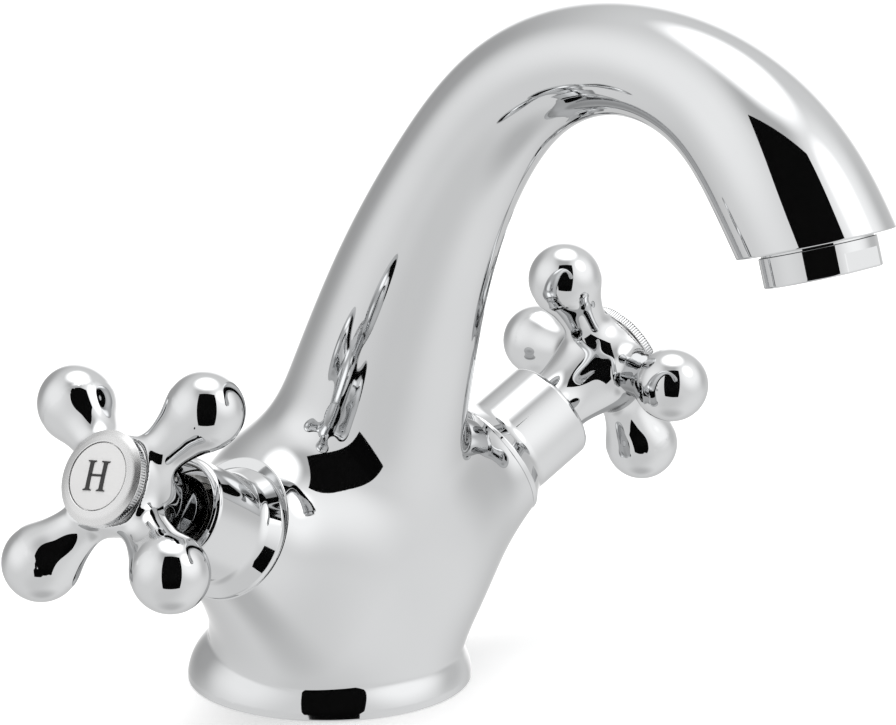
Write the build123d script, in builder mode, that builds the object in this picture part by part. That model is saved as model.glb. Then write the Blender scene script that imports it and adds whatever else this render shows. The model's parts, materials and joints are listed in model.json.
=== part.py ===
from build123d import *
import math
import os

os.makedirs("parts", exist_ok=True)

# Basin mixer tap. Millimetres, +Z up. The origin is the centre of the base underside, the spout
# points to -Y, the hot valve is at -X and the cold valve at +X.

# Fits shared by several pieces
running_fit = 0.05
thread_fit = 0.03
seat_gap = 0.02

# Foot of the body
base_radius = 29.0
rim_height = 1.4
foot_shoulder_radius = 26.9
foot_shoulder_height = 6.6
foot_top_radius = 21.0
foot_top_height = 13.0

# Centre line and outer radius of neck and spout: (y, z, radius)
spout_stations = [
    (-0.9, 3.0, 25.6),
    (-1.3, 9.5, 25.2),
    (-3.8, 24.0, 22.6),
    (-7.8, 41.0, 20.6),
    (-14.5, 61.7, 18.3),
    (-24.4, 87.5, 15.35),
    (-37.2, 110.6, 12.95),
    (-54.0, 129.1, 11.6),
    (-82.0, 138.8, 10.6),
    (-107.3, 132.9, 12.1),
    (-121.3, 120.8, 13.9),
    (-131.0, 107.1, 14.1),
]
spout_start_lean = 4.0
spout_end_turn = 147.0
outlet_face_y = -127.85
outlet_face_z = 112.0
outlet_tilt = 17.3
outlet_trim_radius = 24.0
outlet_trim_depth = 14.0
outlet_throat_radius = 8.2
outlet_throat_length = 6.0

# The waterway follows the centre line from the fourth station to the last but one
waterway_stations = spout_stations[3:-1]
casting_wall = 3.2
waterway_limit = 10.0

# Valve axes: both start at one point, rise outwards and sweep a little forward
axis_start_y = -5.42
axis_start_z = 20.41
axis_rise = 28.65
axis_sweep = 7.63

# Arms of the body: (distance along the axis, half width, half height)
arm_sections = [
    (3.0, 19.8, 22.0),
    (15.9, 19.8, 21.6),
    (28.0, 16.9, 17.7),
]
arm_face = 40.66

# Ceramic discs
ceramic_radius = 7.35
ceramic_thickness = 3.1
ceramic_port_inner = 1.7
ceramic_port_outer = 5.6
ceramic_port_angle = 80.0
ceramic_lug_width = 2.6
ceramic_key_depth = 1.2

# Quarter-turn valve, from the discs outwards
disc_chamber_gap = 0.2
disc_chamber_radius = ceramic_radius + disc_chamber_gap
barrel_wall = 1.05
barrel_radius = disc_chamber_radius + barrel_wall
barrel_gap = 0.75
barrel_bore_radius = barrel_radius + barrel_gap
valve_thread_height = 1.13
valve_thread_radius = barrel_bore_radius + valve_thread_height
valve_thread_length = 9.6
valve_flange_overhang = 1.52
valve_flange_radius = valve_thread_radius + valve_flange_overhang
valve_flange_thickness = 1.4
flange_washer_thickness = 0.6
hex_across_flats = 17.0
hex_height = 7.0
valve_neck_radius = 8.0
valve_neck_rise = 1.3
ceramic_lug_inset = 0.2
ceramic_lug_radius = barrel_radius - ceramic_lug_inset
seat_seal_height = 4.2
seat_seal_bore = 4.6
window_lead = 0.14
window_length = 5.6
window_width = 8.0

# Collar ring and bonnet shroud
collar_height = 3.1
collar_gap = 0.15
collar_wall = 0.99
collar_edge_radius = 0.7
arm_end_radius = valve_flange_radius + collar_gap + collar_wall
shroud_hex_gap = 0.185
shroud_skirt_bore = hex_across_flats / math.sqrt(3) + shroud_hex_gap
shroud_wall = 0.9
shroud_radius = shroud_skirt_bore + shroud_wall
shroud_mouth_wall = 1.5
shroud_mouth_bore = shroud_radius - shroud_mouth_wall
shroud_lip_radius = 0.4
shroud_web_gap = 1.24
shroud_web_thickness = 3.0

# Waterways in the arms
barrel_floor = 17.3
feed_radius = 3.2
feed_bend = 11.0
passage_radius = 3.6
passage_lead = 0.76
mixing_point_y = -9.6
mixing_point_z = 47.0

# Connections in the base
inlet_thread_radius = 5.0
inlet_thread_depth = 11.0
stud_thread_radius = 4.0
stud_thread_depth = 16.0
stud_y = 14.5
seal_groove_margin = 2.8
seal_groove_outer = base_radius - seal_groove_margin
seal_groove_width = 3.6
seal_groove_inner = seal_groove_outer - seal_groove_width
seal_groove_depth = 2.0

# Aerator
aerator_radius = 10.75
aerator_thread_length = 5.0
aerator_washer_thickness = 1.4
aerator_seat_depth = aerator_thread_length + aerator_washer_thickness
aerator_skirt_length = 6.0
aerator_flat_depth = 0.85
aerator_flat_height = 3.6
aerator_wall = 1.75
aerator_bore_radius = aerator_radius - aerator_wall
aerator_lip_width = 0.8
aerator_lip_radius = aerator_bore_radius - aerator_lip_width
aerator_lip_height = 1.0
aerator_washer_bore = 6.6
aerator_screen_thickness = 1.0
screen_pitch = 1.6
screen_opening = 1.1
screen_rows = 7
aerator_cell_pitch = 2.2
aerator_cell_radius = 0.75
aerator_cell_margin = 1.2
aerator_cell_rings = int((aerator_bore_radius - aerator_cell_margin) / aerator_cell_pitch)

# Spindle and what is on it
spindle_radius = 4.0
spindle_end_gap = 0.3
spline_lead = 0.8
spline_count = 20
spline_depth = 0.35
carriage_gap = 0.25
carriage_radius = disc_chamber_radius - carriage_gap
carriage_height = 9.31
carriage_plate = 2.1
carriage_bar_width = 4.6
carriage_key_width = 2.8
oring_groove_lead = 1.94
oring_groove_length = 2.0
oring_groove_radius = 3.0
circlip_gap_below = 0.4
circlip_groove_length = 0.8
circlip_groove_radius = 3.3
circlip_radius = 5.3
circlip_gap = 3.4

# Cross handle, its places measured from the back of the hub
hub_neck_wall = 1.2
hub_waist_wall = 1.0
hub_waist_place = 5.9
hub_boss_radius = 9.0
hub_boss_place = 14.9
hub_length = 22.2
hub_inside_shroud = 1.65
cross_place = 17.75
arm_root_radius = 5.2
arm_neck_radius = 4.5
arm_neck_place = 11.5
lobe_place = 22.2
lobe_radius = 7.63
lobe_join_angle = 125.0
socket_radius = 6.0
socket_depth = 10.0
socket_lip = 0.6
socket_lead = 0.4
insert_web = 1.0
web_thickness = 3.2
recess_radius = 6.9
screw_radius = 2.5
screw_clearance = 0.25
screw_head_radius = 4.4
screw_head_height = 2.8
screw_socket_flats = 3.0
screw_socket_depth = 1.8
screw_length = 12.6
screw_tip_gap = 2.3

# Index cap and disc
cap_radius = 9.35
cap_band_height = 2.2
cap_crown_height = 1.3
cap_crown_bulge = 0.12
cap_floor = 1.3
cap_plug_length = 4.6
cap_plug_wall = 1.2
disc_radius = 6.62
disc_crown = 0.35

hot_first_lobe = 55.9
cold_first_lobe = -3.4


def valve_plane(sign):
    """Plane at the start of a valve axis: Z runs along the axis, X points to the front."""
    rise, sweep = math.radians(axis_rise), math.radians(axis_sweep)
    out = Vector(
        sign * math.cos(rise) * math.cos(sweep),
        -math.cos(rise) * math.sin(sweep),
        math.sin(rise),
    )
    front = Vector(0, -1, 0)
    front = (front - out * front.dot(out)).normalized()
    return Plane(origin=(0, axis_start_y, axis_start_z), x_dir=front, z_dir=out)


def profile_plane(plane):
    """Plane through an axis: X is the radius and Y the distance along the axis."""
    return Plane(origin=plane.origin, x_dir=plane.x_dir, z_dir=-plane.y_dir)


sides = {
    "hot": {"sign": -1, "plane": valve_plane(-1), "first_lobe": hot_first_lobe},
    "cold": {"sign": 1, "plane": valve_plane(1), "first_lobe": cold_first_lobe},
}

# Centre line of neck and spout
start_lean, end_turn = math.radians(spout_start_lean), math.radians(spout_end_turn)
with BuildLine() as spout_line:
    centre_line = Spline(
        [(0, y, z) for y, z, radius in spout_stations],
        tangents=[
            (0, -math.sin(start_lean), math.cos(start_lean)),
            (0, -math.sin(end_turn), math.cos(end_turn)),
        ],
    )


def station_plane(y, z):
    """Plane square to the centre line at one of its stations, its X towards the back."""
    along = centre_line % centre_line.param_at_point(Vector(0, y, z))
    return Plane(origin=(0, y, z), x_dir=along.cross(Vector(1, 0, 0)), z_dir=along)


tilt = math.radians(outlet_tilt)
outlet_plane = Plane(
    origin=(0, outlet_face_y, outlet_face_z),
    x_dir=(1, 0, 0),
    z_dir=(0, -math.sin(tilt), -math.cos(tilt)),
)
inlet_x = feed_bend * math.cos(math.radians(axis_rise)) * math.cos(math.radians(axis_sweep))
inlet_y = axis_start_y - feed_bend * math.cos(math.radians(axis_rise)) * math.sin(
    math.radians(axis_sweep)
)
feed_top = axis_start_z + feed_bend * math.sin(math.radians(axis_rise))

# Places along a valve axis, from the seat of the valve to the face of the index cap
barrel_end = barrel_floor + seat_seal_height / 2
ceramic_start = barrel_floor + seat_seal_height
upper_disc_start = ceramic_start + ceramic_thickness + seat_gap
carriage_start = upper_disc_start + ceramic_thickness + seat_gap
carriage_end = carriage_start + carriage_height
disc_chamber_top = carriage_end + running_fit
window_start = carriage_start - window_lead
passage_start = carriage_start + passage_lead
flange_start = arm_face + flange_washer_thickness
flange_top = flange_start + valve_flange_thickness
collar_top = arm_face + collar_height
hex_top = flange_top + hex_height
oring_groove_start = flange_top + oring_groove_lead
shroud_web_start = hex_top + shroud_web_gap
shroud_web_end = shroud_web_start + shroud_web_thickness
valve_top = shroud_web_end + valve_neck_rise
circlip_groove_start = valve_top + circlip_gap_below
spline_start = circlip_groove_start + circlip_groove_length + spline_lead
hub_back = spline_start + socket_lead
shroud_mouth = hub_back + hub_inside_shroud
socket_end = hub_back + socket_depth
spindle_top = socket_end - insert_web - spindle_end_gap
recess_floor = socket_end + web_thickness
screw_tip = recess_floor - screw_length
cross_plane = hub_back + cross_place
hub_front = hub_back + hub_length
cap_base = hub_front + seat_gap
cap_band_top = cap_base + cap_band_height
disc_seat = cap_base + cap_floor + cap_crown_height
cap_face = cap_band_top + cap_crown_height

# Body casting: foot, neck, spout and both arms in one casting, bored for the waterways
with BuildPart() as body_casting:
    with BuildSketch(Plane.XZ):
        with BuildLine():
            rim = Polyline((0, 0), (base_radius, 0), (base_radius, rim_height))
            flare = Spline(
                rim @ 1,
                (foot_shoulder_radius, foot_shoulder_height),
                (foot_top_radius, foot_top_height),
                tangents=[(-0.15, 1), (-0.6, 1)],
            )
            Polyline(flare @ 1, (0, foot_top_height), (0, 0))
        make_face()
    revolve(axis=Axis.Z)
    for y, z, radius in spout_stations:
        with BuildSketch(station_plane(y, z)):
            Circle(radius)
    loft()
    with BuildSketch(outlet_plane):
        Circle(outlet_trim_radius)
    extrude(amount=outlet_trim_depth, mode=Mode.SUBTRACT)
    for side in sides.values():
        for distance, half_width, half_height in arm_sections:
            with BuildSketch(side["plane"].offset(distance)):
                Ellipse(half_width, half_height)
        with BuildSketch(side["plane"].offset(arm_face)):
            Circle(arm_end_radius)
        loft()
    # Waterway: mixing chamber, neck and spout, then the threaded seat of the aerator
    for y, z, radius in waterway_stations:
        with BuildSketch(station_plane(y, z)):
            Circle(min(radius - casting_wall, waterway_limit))
    loft(mode=Mode.SUBTRACT)
    with BuildSketch(outlet_plane):
        Circle(aerator_radius + thread_fit)
    extrude(amount=-aerator_seat_depth, mode=Mode.SUBTRACT)
    with BuildSketch(outlet_plane):
        Circle(outlet_throat_radius)
    extrude(amount=-aerator_seat_depth - outlet_throat_length, mode=Mode.SUBTRACT)
    # Valve seats, feed bores and mixing passages
    for side in sides.values():
        plane = side["plane"]
        with BuildSketch(plane.offset(arm_face)):
            Circle(valve_thread_radius)
        extrude(amount=-valve_thread_length, mode=Mode.SUBTRACT)
        with BuildSketch(plane.offset(barrel_floor)):
            Circle(barrel_bore_radius)
        extrude(amount=arm_face - barrel_floor, mode=Mode.SUBTRACT)
        with BuildSketch(plane.offset(feed_bend)):
            Circle(feed_radius)
        extrude(amount=barrel_floor - feed_bend, mode=Mode.SUBTRACT)
        with BuildSketch(Plane.XY):
            with Locations((side["sign"] * inlet_x, inlet_y)):
                Circle(feed_radius)
        extrude(amount=feed_top + feed_radius, mode=Mode.SUBTRACT)
        with BuildSketch(Plane.XY):
            with Locations((side["sign"] * inlet_x, inlet_y)):
                Circle(inlet_thread_radius)
        extrude(amount=inlet_thread_depth, mode=Mode.SUBTRACT)
        passage_from = plane.offset(passage_start).origin
        passage_way = Vector(0, mixing_point_y, mixing_point_z) - passage_from
        with BuildSketch(Plane(origin=passage_from, z_dir=passage_way)):
            Circle(passage_radius)
        extrude(amount=passage_way.length, mode=Mode.SUBTRACT)
    # Stud hole and seal groove in the underside
    with BuildSketch(Plane.XY):
        with Locations((0, stud_y)):
            Circle(stud_thread_radius)
    extrude(amount=stud_thread_depth, mode=Mode.SUBTRACT)
    with BuildSketch(Plane.XY):
        Circle(seal_groove_outer)
        Circle(seal_groove_inner, mode=Mode.SUBTRACT)
    extrude(amount=seal_groove_depth, mode=Mode.SUBTRACT)
body_casting.part.label = "body_casting"
export_step(body_casting.part, "parts/body_casting.step")

# Seal between the foot and the basin
with BuildPart() as base_seal:
    with BuildSketch(Plane.XY):
        Circle(seal_groove_outer - running_fit)
        Circle(seal_groove_inner + running_fit, mode=Mode.SUBTRACT)
    extrude(amount=seal_groove_depth - seat_gap)
base_seal.part.label = "base_seal"
export_step(base_seal.part, "parts/base_seal.step")

# Aerator: housing screwed into the spout, core with its cells, screen and washer
with BuildPart() as aerator_housing:
    with BuildSketch(outlet_plane.offset(-aerator_thread_length)):
        Circle(aerator_radius)
    extrude(amount=aerator_thread_length + aerator_skirt_length)
    flat_centre = 2 * aerator_radius - aerator_flat_depth
    with BuildSketch(outlet_plane.offset(aerator_skirt_length)):
        with Locations((flat_centre, 0), (-flat_centre, 0)):
            Rectangle(2 * aerator_radius, 2 * aerator_radius)
    extrude(amount=-aerator_flat_height, mode=Mode.SUBTRACT)
    with BuildSketch(outlet_plane.offset(-aerator_thread_length)):
        Circle(aerator_bore_radius)
    extrude(
        amount=aerator_thread_length + aerator_skirt_length - aerator_lip_height,
        mode=Mode.SUBTRACT,
    )
    with BuildSketch(outlet_plane.offset(aerator_skirt_length)):
        Circle(aerator_lip_radius)
    extrude(amount=-aerator_lip_height, mode=Mode.SUBTRACT)
aerator_housing.part.label = "aerator_housing"
export_step(aerator_housing.part, "parts/aerator_housing.step")

core_top = -aerator_thread_length
core_bottom = aerator_skirt_length - aerator_lip_height - aerator_screen_thickness - seat_gap
with BuildPart() as aerator_core:
    with BuildSketch(outlet_plane.offset(core_top)):
        Circle(aerator_bore_radius - running_fit)
    extrude(amount=core_bottom - seat_gap - core_top)
    with BuildSketch(outlet_plane.offset(core_top)):
        Circle(aerator_cell_radius)
        for ring in range(1, aerator_cell_rings + 1):
            with PolarLocations(ring * aerator_cell_pitch, 6 * ring):
                Circle(aerator_cell_radius)
    extrude(amount=core_bottom - core_top, mode=Mode.SUBTRACT)
aerator_core.part.label = "aerator_core"
export_step(aerator_core.part, "parts/aerator_core.step")

with BuildPart() as aerator_screen:
    with BuildSketch(outlet_plane.offset(core_bottom)):
        Circle(aerator_bore_radius - running_fit)
        with GridLocations(screen_pitch, screen_pitch, screen_rows, screen_rows):
            Rectangle(screen_opening, screen_opening, mode=Mode.SUBTRACT)
    extrude(amount=aerator_screen_thickness)
aerator_screen.part.label = "aerator_screen"
export_step(aerator_screen.part, "parts/aerator_screen.step")

with BuildPart() as aerator_washer:
    with BuildSketch(outlet_plane.offset(-aerator_seat_depth)):
        Circle(aerator_radius - running_fit)
        Circle(aerator_washer_bore, mode=Mode.SUBTRACT)
    extrude(amount=aerator_washer_thickness - seat_gap)
aerator_washer.part.label = "aerator_washer"
export_step(aerator_washer.part, "parts/aerator_washer.step")


def serrations(outer, depth, count):
    """Corners of a serrated shaft or bore, alternately on the crest and in the root."""
    corners = []
    for step in range(2 * count):
        reach = outer if step % 2 == 0 else outer - depth
        turn = math.pi * step / count
        corners.append((reach * math.cos(turn), reach * math.sin(turn)))
    return corners


for name, side in sides.items():
    plane = side["plane"]
    profile = profile_plane(plane)
    spin = Axis(plane.origin, plane.z_dir)

    # Collar ring: covers the valve flange and carries the shroud
    with BuildPart() as collar_ring:
        with BuildSketch(profile) as section:
            with BuildLine():
                Polyline(
                    (valve_flange_radius + collar_gap, arm_face),
                    (arm_end_radius, arm_face),
                    (arm_end_radius, collar_top),
                    (shroud_skirt_bore, collar_top),
                    (shroud_skirt_bore, flange_top + running_fit),
                    (valve_flange_radius + collar_gap, flange_top + running_fit),
                    close=True,
                )
            make_face()
            corner = section.vertices().sort_by_distance((arm_end_radius, collar_top))[:1]
            fillet(corner, collar_edge_radius)
        revolve(axis=spin)
    collar_ring.part.label = f"{name}_collar_ring"
    export_step(collar_ring.part, f"parts/{name}_collar_ring.step")

    # Bonnet shroud: sleeve with a threaded web inside that screws on to the valve neck
    with BuildPart() as shroud:
        with BuildSketch(profile) as section:
            with BuildLine():
                Polyline(
                    (shroud_skirt_bore, collar_top),
                    (shroud_radius, collar_top),
                    (shroud_radius, shroud_mouth),
                    (shroud_mouth_bore, shroud_mouth),
                    (shroud_mouth_bore, shroud_web_end),
                    (valve_neck_radius + thread_fit, shroud_web_end),
                    (valve_neck_radius + thread_fit, shroud_web_start),
                    (shroud_skirt_bore, shroud_web_start),
                    close=True,
                )
            make_face()
            rim_corners = section.vertices().group_by(Axis.Y)[-1]
            fillet(rim_corners, shroud_lip_radius)
        revolve(axis=spin)
    shroud.part.label = f"{name}_bonnet_shroud"
    export_step(shroud.part, f"parts/{name}_bonnet_shroud.step")

    # Flat washer between the arm and the valve flange
    with BuildPart() as flange_washer:
        with BuildSketch(plane.offset(arm_face)):
            Circle(valve_flange_radius)
            Circle(valve_thread_radius + running_fit, mode=Mode.SUBTRACT)
        extrude(amount=flange_washer_thickness)
    flange_washer.part.label = f"{name}_flange_washer"
    export_step(flange_washer.part, f"parts/{name}_flange_washer.step")

    # Valve body: threaded barrel with side windows, flange, hexagon and threaded neck
    with BuildPart() as valve_body:
        with BuildSketch(profile):
            with BuildLine():
                Polyline(
                    (0, barrel_end),
                    (barrel_radius, barrel_end),
                    (barrel_radius, arm_face - valve_thread_length),
                    (valve_thread_radius - thread_fit, arm_face - valve_thread_length),
                    (valve_thread_radius - thread_fit, flange_start),
                    (valve_flange_radius, flange_start),
                    (valve_flange_radius, flange_top),
                    (valve_neck_radius, flange_top),
                    (valve_neck_radius, valve_top),
                    (0, valve_top),
                    close=True,
                )
            make_face()
        revolve(axis=spin)
        with BuildSketch(plane.offset(flange_top)):
            RegularPolygon(hex_across_flats / 2, 6, major_radius=False)
        extrude(amount=hex_height)
        with BuildSketch(plane.offset(barrel_end)):
            Circle(spindle_radius + running_fit)
        extrude(amount=valve_top - barrel_end, mode=Mode.SUBTRACT)
        with BuildSketch(plane.offset(barrel_end)):
            Circle(disc_chamber_radius)
        extrude(amount=disc_chamber_top - barrel_end, mode=Mode.SUBTRACT)
        with BuildSketch(plane.offset(window_start)):
            Rectangle(4 * barrel_radius, window_width)
        extrude(amount=window_length, mode=Mode.SUBTRACT)
        with BuildSketch(plane.offset(barrel_end)):
            Rectangle(ceramic_lug_width + 2 * running_fit, 4 * barrel_radius)
        extrude(amount=ceramic_start + ceramic_thickness - barrel_end, mode=Mode.SUBTRACT)
    valve_body.part.label = f"{name}_valve_body"
    export_step(valve_body.part, f"parts/{name}_valve_body.step")

    # Rubber seat seal under the fixed disc
    with BuildPart() as seat_seal:
        with BuildSketch(plane.offset(barrel_floor + seat_gap)):
            Circle(ceramic_radius)
            Circle(seat_seal_bore, mode=Mode.SUBTRACT)
        extrude(amount=seat_seal_height - 2 * seat_gap)
    seat_seal.part.label = f"{name}_seat_seal"
    export_step(seat_seal.part, f"parts/{name}_seat_seal.step")

    # Two ports, one each side of the middle, that both discs have
    with BuildSketch() as ports:
        with BuildLine():
            start = -ceramic_port_angle / 2
            outer_arc = CenterArc((0, 0), ceramic_port_outer, start, ceramic_port_angle)
            inner_arc = CenterArc((0, 0), ceramic_port_inner, start, ceramic_port_angle)
            Line(outer_arc @ 0, inner_arc @ 0)
            Line(outer_arc @ 1, inner_arc @ 1)
        make_face()
        mirror(about=Plane.YZ)

    # Fixed ceramic disc, held by two lugs in slots of the barrel
    with BuildPart() as fixed_disc:
        with BuildSketch(plane.offset(ceramic_start)):
            Circle(ceramic_radius)
            Rectangle(ceramic_lug_width, 2 * ceramic_lug_radius)
            add(ports.sketch, mode=Mode.SUBTRACT)
        extrude(amount=ceramic_thickness)
    fixed_disc.part.label = f"{name}_fixed_ceramic_disc"
    export_step(fixed_disc.part, f"parts/{name}_fixed_ceramic_disc.step")

    # Turning ceramic disc: closed at rest, so its ports stand across the fixed ones
    with BuildPart() as turning_disc:
        with BuildSketch(plane.offset(upper_disc_start)):
            Circle(ceramic_radius)
            add(ports.sketch, rotation=90, mode=Mode.SUBTRACT)
        extrude(amount=ceramic_thickness)
        with BuildSketch(plane.offset(upper_disc_start + ceramic_thickness)):
            Rectangle(4 * ceramic_radius, carriage_key_width + 2 * running_fit)
        extrude(amount=-ceramic_key_depth, mode=Mode.SUBTRACT)
    turning_disc.part.label = f"{name}_turning_ceramic_disc"
    export_step(turning_disc.part, f"parts/{name}_turning_ceramic_disc.step")

    # Spindle: drives the turning disc with a key and carries the handle on its serrated end
    with BuildPart() as spindle:
        with BuildSketch(plane.offset(carriage_end)):
            Circle(carriage_radius)
        extrude(amount=-carriage_plate)
        with BuildSketch(plane.offset(carriage_start)):
            Rectangle(2 * carriage_radius - carriage_bar_width / 2, carriage_bar_width)
        extrude(amount=carriage_end - carriage_plate - carriage_start)
        with BuildSketch(plane.offset(carriage_start)):
            Rectangle(2 * carriage_radius - carriage_bar_width / 2, carriage_key_width)
        extrude(amount=-ceramic_key_depth)
        with BuildSketch(plane.offset(carriage_end)):
            Circle(spindle_radius)
        extrude(amount=spline_start - carriage_end)
        with BuildSketch(plane.offset(spline_start)):
            Polygon(*serrations(spindle_radius, spline_depth, spline_count), align=None)
        extrude(amount=spindle_top - spline_start)
        with BuildSketch(plane.offset(oring_groove_start)):
            Circle(spindle_radius)
            Circle(oring_groove_radius, mode=Mode.SUBTRACT)
        extrude(amount=oring_groove_length, mode=Mode.SUBTRACT)
        with BuildSketch(plane.offset(circlip_groove_start)):
            Circle(spindle_radius)
            Circle(circlip_groove_radius, mode=Mode.SUBTRACT)
        extrude(amount=circlip_groove_length, mode=Mode.SUBTRACT)
        with BuildSketch(plane.offset(spindle_top)):
            Circle(screw_radius)
        extrude(amount=screw_tip - screw_tip_gap - spindle_top, mode=Mode.SUBTRACT)
    spindle.part.label = f"{name}_spindle"
    export_step(spindle.part, f"parts/{name}_spindle.step")

    # O-ring in its groove on the spindle
    with BuildPart() as spindle_oring:
        with BuildSketch(profile):
            ring_radius = (spindle_radius - oring_groove_radius) / 2
            with Locations((
                (spindle_radius + oring_groove_radius) / 2,
                oring_groove_start + oring_groove_length / 2,
            )):
                Circle(ring_radius)
        revolve(axis=spin)
    spindle_oring.part.label = f"{name}_spindle_oring"
    export_step(spindle_oring.part, f"parts/{name}_spindle_oring.step")

    # Circlip that keeps the spindle in the valve body
    with BuildPart() as circlip:
        with BuildSketch(plane.offset(circlip_groove_start + seat_gap)):
            Circle(circlip_radius)
            Circle(circlip_groove_radius + seat_gap, mode=Mode.SUBTRACT)
            with Locations((circlip_radius, 0)):
                Rectangle(2 * circlip_radius, circlip_gap, mode=Mode.SUBTRACT)
        extrude(amount=circlip_groove_length - 2 * seat_gap)
    circlip.part.label = f"{name}_circlip"
    export_step(circlip.part, f"parts/{name}_circlip.step")

    # Cross handle: hub with four ball-ended arms, a socket behind and a screw recess in front
    with BuildPart() as cross_handle:
        with BuildSketch(profile):
            with BuildLine():
                trumpet = Spline(
                    (socket_radius + hub_neck_wall, hub_back),
                    (socket_radius + hub_waist_wall, hub_back + hub_waist_place),
                    (hub_boss_radius, hub_back + hub_boss_place),
                    tangents=[(0, 1), (0, 1)],
                )
                Polyline(
                    trumpet @ 1,
                    (hub_boss_radius, hub_front),
                    (0, hub_front),
                    (0, hub_back),
                    trumpet @ 0,
                )
            make_face()
        revolve(axis=spin)
        for quarter in range(4):
            turn = math.radians(side["first_lobe"] + 90 * quarter)
            along = plane.x_dir * math.cos(turn) + plane.y_dir * math.sin(turn)
            centre = plane.offset(cross_plane).origin
            join = math.radians(lobe_join_angle)
            with BuildSketch(Plane(origin=centre, x_dir=along, z_dir=plane.z_dir)):
                with BuildLine():
                    neck = Spline(
                        (0, arm_root_radius),
                        (arm_neck_place, arm_neck_radius),
                        (
                            lobe_place + lobe_radius * math.cos(join),
                            lobe_radius * math.sin(join),
                        ),
                        tangents=[(1, 0), (math.sin(join), -math.cos(join))],
                    )
                    ball = CenterArc((lobe_place, 0), lobe_radius, 0, lobe_join_angle)
                    Polyline(ball @ 0, (0, 0), neck @ 0)
                make_face()
            revolve(axis=Axis(centre, along))
        with BuildSketch(plane.offset(hub_front)):
            Circle(cap_radius + collar_gap)
        extrude(amount=arm_root_radius, mode=Mode.SUBTRACT)
        with BuildSketch(plane.offset(hub_back)):
            Circle(socket_radius)
        extrude(amount=socket_depth, mode=Mode.SUBTRACT)
        with BuildSketch(plane.offset(socket_end)):
            Circle(screw_radius + screw_clearance)
        extrude(amount=web_thickness, mode=Mode.SUBTRACT)
        with BuildSketch(plane.offset(recess_floor)):
            Circle(recess_radius)
        extrude(amount=hub_front - recess_floor, mode=Mode.SUBTRACT)
    cross_handle.part.label = f"{name}_cross_handle"
    export_step(cross_handle.part, f"parts/{name}_cross_handle.step")

    # Serrated insert pressed into the handle socket
    with BuildPart() as handle_insert:
        with BuildSketch(plane.offset(hub_back + socket_lip)):
            Circle(socket_radius - running_fit)
            Polygon(
                *serrations(spindle_radius + running_fit, spline_depth, spline_count),
                align=None,
                mode=Mode.SUBTRACT,
            )
        extrude(amount=socket_depth - socket_lip - insert_web)
        with BuildSketch(plane.offset(socket_end - insert_web)):
            Circle(socket_radius - running_fit)
            Circle(screw_radius + screw_clearance, mode=Mode.SUBTRACT)
        extrude(amount=insert_web)
    handle_insert.part.label = f"{name}_handle_insert"
    export_step(handle_insert.part, f"parts/{name}_handle_insert.step")

    # Screw that holds the handle on the spindle
    with BuildPart() as handle_screw:
        with BuildSketch(plane.offset(recess_floor)):
            Circle(screw_head_radius)
        extrude(amount=screw_head_height)
        with BuildSketch(plane.offset(screw_tip)):
            Circle(screw_radius - thread_fit)
        extrude(amount=screw_length)
        with BuildSketch(plane.offset(recess_floor + screw_head_height)):
            RegularPolygon(screw_socket_flats / 2, 6, major_radius=False)
        extrude(amount=-screw_socket_depth, mode=Mode.SUBTRACT)
    handle_screw.part.label = f"{name}_handle_screw"
    export_step(handle_screw.part, f"parts/{name}_handle_screw.step")

    # Index cap: plugs into the recess of the hub, its crowned face holds the index disc
    with BuildPart() as index_cap:
        plug_radius = recess_radius - running_fit
        with BuildSketch(profile):
            with BuildLine():
                crown = ThreePointArc(
                    (cap_radius, cap_band_top),
                    (
                        (cap_radius + disc_radius) / 2 + cap_crown_bulge,
                        cap_band_top + cap_crown_height / 2 + cap_crown_bulge,
                    ),
                    (disc_radius + running_fit, cap_face),
                )
                Polyline(
                    crown @ 1,
                    (disc_radius + running_fit, disc_seat),
                    (0, disc_seat),
                    (0, cap_base),
                    (plug_radius - cap_plug_wall, cap_base),
                    (plug_radius - cap_plug_wall, cap_base - cap_plug_length),
                    (plug_radius, cap_base - cap_plug_length),
                    (plug_radius, cap_base),
                    (cap_radius, cap_base),
                    crown @ 0,
                )
            make_face()
        revolve(axis=spin)
    index_cap.part.label = f"{name}_index_cap"
    export_step(index_cap.part, f"parts/{name}_index_cap.step")

    # Index disc, slightly crowned
    with BuildPart() as index_disc:
        with BuildSketch(profile):
            with BuildLine():
                face = Spline(
                    (disc_radius, cap_face),
                    (0, cap_face + disc_crown),
                    tangents=[(-1, 2 * disc_crown / disc_radius), (-1, 0)],
                )
                Polyline(face @ 1, (0, disc_seat), (disc_radius, disc_seat), face @ 0)
            make_face()
        revolve(axis=spin)
    index_disc.part.label = f"{name}_index_disc"
    export_step(index_disc.part, f"parts/{name}_index_disc.step")
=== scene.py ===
import json
import math

import bmesh
import bpy
import numpy as np
from mathutils import Matrix, Vector
from mathutils.geometry import tessellate_polygon


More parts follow.
